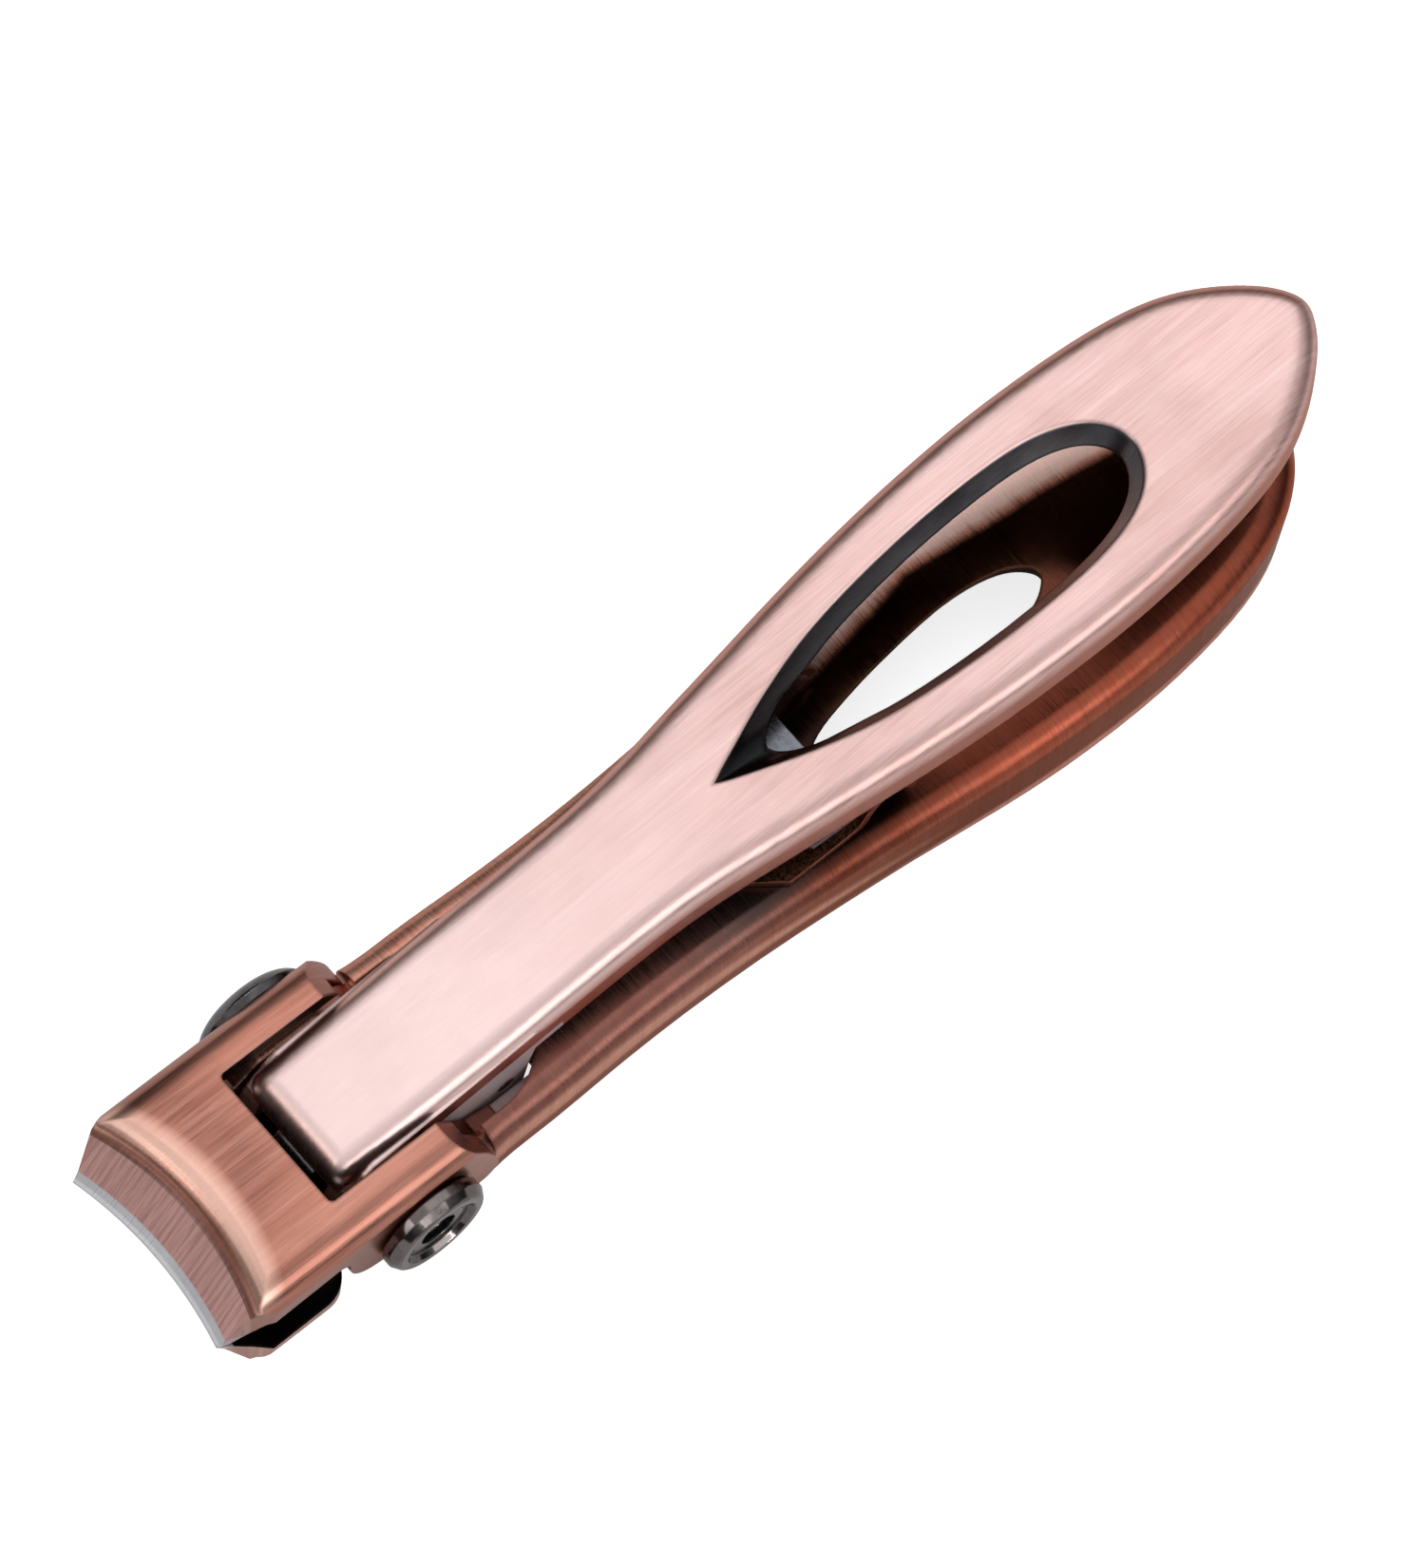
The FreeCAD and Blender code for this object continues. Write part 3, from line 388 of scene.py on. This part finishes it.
def upper_jaw_material():
    coat = Plating("jaw_copper", base=(0.53, 0.215, 0.155), pale=(0.64, 0.295, 0.22),
                   dark=COPPER_DARK, along="x", roughness=0.30, streak=0.19, mottling=0.25)
    x, y, z = coat.position
    nx, _, nz = coat.normal

    # Ground bevel by the cutting edge, with a painted highlight line along it
    above_edge = z - CUT_EDGE_Z
    bevel = (above_edge.ramp(**BEVEL_FADE)
             * ((x < BEVEL_BACK_X) * nx.ramp(start=-0.2, end=-0.45)))
    bevel_highlight = bevel * above_edge.ramp(start=0.00034, end=0.00028)

    # Curved groove between the top plate and the blade in front of it
    groove_front_x, groove_curve, groove_min_z = -0.01180, 29.5, DATUM_Z + 0.0040
    groove_x = groove_front_x - y * y * groove_curve
    groove_shade = (abs(x - groove_x).ramp(start=0.00055, end=0.00020)
              * (z > groove_min_z))
    blade = (x < groove_x) * nz.ramp(start=0.9, end=0.7)

    # Behind the groove: a painted highlight on the roll, then painted shade, dark and streaky,
    # that thins towards -y
    behind = x - groove_x
    roll = behind.ramp(start=0.0001, end=0.0009) * behind.ramp(start=0.0027, end=0.0013)
    plate_shade = behind.ramp(start=0.0014, end=0.0030) * behind.ramp(start=0.0085, end=0.0045)
    top = nz.ramp(start=0.45, end=0.75)
    plate_shade_slant = 0.3
    plate_shade = (plate_shade * coat.middle.ramp(start=0.34, end=0.62, at_start=1.0, at_end=0.45)
            * (y - behind * plate_shade_slant).ramp(start=-0.0075, end=-0.0020))
    coat.paint(plate_shade * top, colour=(0.16, 0.066, 0.050), amount=0.74)
    coat.paint(roll * top, colour=(1.0, 0.64, 0.52), amount=0.82)

    # Blade with dark brush marks, then painted shade in the groove
    coat.paint(blade, colour=(0.76, 0.44, 0.41), amount=0.80)
    coat.paint(blade * coat.middle.ramp(start=0.40, end=0.56, at_start=1.0, at_end=0.0),
               colour=(0.13, 0.055, 0.05), amount=0.34)
    coat.paint(groove_shade, colour=(0.12, 0.045, 0.03), amount=0.75)

    # The bevel is silver, smooth and less metallic
    silver = coat.mix(coat.wide.ramp(start=0.35, end=0.65),
                      under=(0.66, 0.65, 0.68), over=(0.71, 0.70, 0.73))
    silver = coat.mix(bevel_highlight, under=silver, over=(0.90, 0.90, 0.93))
    coat.paint(bevel, colour=silver)
    coat.height = coat.height * (1.0 - bevel)
    bevel_metal_loss = 0.55
    coat.metallic = 1.0 - bevel * bevel_metal_loss

    # Inner cut edges of the plate; painted shade on the outer flanks and underside
    off_centre = abs(y)
    inner = (off_centre < 0.00545) * ((x > -0.0056) * nz.ramp(start=0.8, end=0.5))
    coat.paint(inner, colour=(0.06, 0.05, 0.05))
    shaded_flank = (off_centre > 0.0070) * nz.ramp(start=0.7, end=0.15)
    coat.paint(shaded_flank, colour=COPPER_DARK, amount=0.45)
    coat.paint(nz.ramp(**UNDERSIDE), colour=(0.07, 0.045, 0.04))
    return coat.finish()


def lower_jaw_material():
    coat = Plating("jaw_copper_lower", base=(0.60, 0.31, 0.24), pale=(0.78, 0.47, 0.39),
                   dark=COPPER_DARK, along="x", roughness=0.30, streak=0.22, mottling=0.35)
    x, _, z = coat.position
    bevel = (CUT_EDGE_Z - z).ramp(**BEVEL_FADE) * (x < BEVEL_BACK_X)
    coat.paint(bevel, colour=(0.66, 0.65, 0.67))
    # Faces that look up, into the clipper: dark bare metal, made near black by painted shade
    inner = coat.normal[2].ramp(start=0.05, end=0.4) * (1.0 - bevel)
    coat.paint(inner, colour=(0.012, 0.010, 0.010))
    return coat.finish()


# ---------------------------------------------------------------- plain metal pieces
# Piece, material, colour, roughness, strength of dark mottling, strength of bright edges
METALS = (
    ("pivot_rivet", "rivet_steel", (0.15, 0.14, 0.145), 0.10, 0.6, 0.5),
    ("rivet_cap", "cap_steel", (0.19, 0.165, 0.16), 0.10, 0.6, 0.5),
    ("pivot_washers", "washer_brass", (0.62, 0.45, 0.22), 0.3, 0.4, 0.5),
    ("pivot_spacer", "spacer_steel", (0.40, 0.39, 0.39), 0.3, 0.4, 0.5),
    ("jaw_lock_studs", "stud_steel", (0.40, 0.38, 0.38), 0.3, 0.4, 0.5),
    ("lever_lock_pin", "pin_steel", (0.38, 0.36, 0.36), 0.25, 0.4, 0.5),
    ("upper_leaf_pin", "leaf_pin_steel", (0.40, 0.38, 0.38), 0.25, 0.4, 0.5),
    ("upper_leaf_spring", "upper_leaf_steel", (0.20, 0.21, 0.24), 0.25, 0.4, 0.1),
    ("lower_leaf_spring", "lower_leaf_steel", (0.30, 0.115, 0.070), 0.30, 0.25, 0.0),
    ("spring_rivets", "spring_rivet_steel", (0.45, 0.40, 0.40), 0.2, 0.4, 0.5),
)


def metal_material(name, colour, roughness, mottling, edge_strength):
    metal = Surface(name, colour)
    vector = metal.object_vector()
    blotches = metal.noise(vector, (900, 900, 900), detail=4.0, roughness=0.6)
    grain = metal.noise(vector, (5200, 5200, 5200), detail=2.0, roughness=0.5)
    metal.paint(blotches.ramp(start=0.45, end=0.7, at_end=mottling),
                colour=tuple(0.35 * channel for channel in colour))
    edges, edge_normal = metal.rounded_edges(radius=0.00015)
    metal.paint(edges, colour=tuple(min(1.0, 1.5 * channel) for channel in colour),
                amount=edge_strength)
    metal.set({
        "Base Color": metal.colour,
        "Metallic": 1.0,
        "Roughness": grain.ramp(start=0.3, end=0.7, at_start=roughness * 0.7,
                                at_end=roughness * 1.4),
        "Normal": metal.bump(blotches, strength=0.05, distance=0.00001, normal=edge_normal),
    })
    return metal.material


def dress(piece, material):
    slots = pieces[piece].data.materials
    slots.clear()
    slots.append(material)


dress("lever", lever_material())
dress("lower_handle", handle_material())
dress("upper_jaw", upper_jaw_material())
dress("lower_jaw", lower_jaw_material())
for piece, *look in METALS:
    dress(piece, metal_material(*look))


# ---------------------------------------------------------------- stage
def add_object(name, data):
    item = bpy.data.objects.new(name, data)
    bpy.context.scene.collection.objects.link(item)
    return item


def make_floor():
    """A white square that glows for the camera only."""
    half, z = 1.2, -0.0001
    mesh = bpy.data.meshes.new("floor")
    corners = [(-half, -half, z), (half, -half, z), (half, half, z), (-half, half, z)]
    mesh.from_pydata(corners, [], [(0, 1, 2, 3)])
    mesh.update()
    white = Surface("floor_white", (0.90, 0.90, 0.90))
    seen = white.value("ShaderNodeLightPath", output="Is Camera Ray")
    white.set({
        "Base Color": white.colour,
        "Roughness": 0.9,
        "Emission Color": (1, 1, 1),
        "Emission Strength": seen.ramp(start=0.0, end=1.0, at_end=0.80),
    })
    mesh.materials.append(white.material)
    return add_object("floor", mesh)


def make_world():
    """A grey sky that brightens from the horizon (position 0.5) to straight up (1)."""
    world = bpy.data.worlds.new("studio")
    bpy.context.scene.world = world
    world.use_nodes = True
    sky = Nodes(world.node_tree)
    direction = sky.value("ShaderNodeTexCoord", output="Generated")
    height = sky.separate(direction)[2].ramp(start=-1.0, end=1.0)
    gradient = sky.node("ShaderNodeValToRGB", {0: height})
    stops = gradient.color_ramp.elements
    stops[0].position = 0.50
    stops[0].color = (0.05, 0.05, 0.055, 1)
    stops[1].position = 1.0
    stops[1].color = (0.90, 0.90, 0.92, 1)
    for position, grey in ((0.62, 0.10), (0.78, 0.45), (0.88, 0.80)):
        stops.new(position).color = (grey, grey, grey, 1)
    background = sky.value("ShaderNodeBackground", {
        "Color": Value(sky, gradient.outputs[0]), "Strength": 0.85})
    sky.node("ShaderNodeOutputWorld", {0: background})


# Area lights: name, place, point aimed at, width, height, power in watts
LIGHTS = (
    ("far_strip", (0.02, 0.50, 0.24), (0.0, 0, 0), 0.30, 0.06, 2.2),
    ("near_strip", (-0.12, -0.40, 0.20), (0.0, 0, 0), 0.16, 0.05, 1.1),
    ("top_soft", (0.22, 0.20, 0.62), (0.03, 0, 0), 0.50, 0.50, 0.45),
    ("near_soft", (0.02, -0.55, 0.30), (0.03, 0, 0), 0.60, 0.28, 1.0),
    ("front_soft", (-0.50, 0.10, 0.30), (0.0, 0, 0), 0.16, 0.30, 0.30),
)


def area_light(name, place, aim, width, height, power):
    light = bpy.data.lights.new(name, "AREA")
    light.shape = "RECTANGLE"
    light.size = width
    light.size_y = height
    light.energy = power
    lamp = add_object(name, light)
    lamp.location = place
    lamp.rotation_mode = "QUATERNION"
    lamp.rotation_quaternion = (Vector(aim) - Vector(place)).to_track_quat("-Z", "Y")
    return lamp


def make_camera():
    """A long lens above the near side, looking down, rolled about its own axis."""
    swing, lean, roll = (math.radians(angle) for angle in (18.9, 14.5, 42.2))
    target = Vector((0.02895, -0.00016, DATUM_Z + 0.00987))
    distance = 0.520

    right = Vector((math.cos(swing), 0.0, math.sin(swing)))
    up = Vector((-math.sin(swing) * math.sin(lean), math.cos(lean),
                 math.cos(swing) * math.sin(lean)))
    back = right.cross(up).normalized()
    rolled_right = (right * math.cos(roll) - up * math.sin(roll)).normalized()
    rolled_up = (right * math.sin(roll) + up * math.cos(roll)).normalized()

    lens = bpy.data.cameras.new("cam")
    lens.sensor_width = 36.0
    lens.lens = 195.14182
    lens.clip_start = 0.01
    lens.clip_end = 10
    camera = add_object("cam", lens)
    camera.rotation_mode = "QUATERNION"
    axes = Matrix((rolled_right, rolled_up, back)).transposed()
    camera.rotation_quaternion = axes.to_quaternion()
    camera.location = target + back * distance
    bpy.context.scene.camera = camera


floor = make_floor()
make_world()
lamps = [area_light(*entry) for entry in LIGHTS]

# The two strips light only the rivet and its cap
chrome = bpy.data.collections.new("chrome_only")
for piece in ("pivot_rivet", "rivet_cap"):
    chrome.objects.link(pieces[piece])
for lamp in lamps[:2]:
    lamp.light_linking.receiver_collection = chrome

make_camera()
bpy.context.scene.view_settings.view_transform = "Standard"
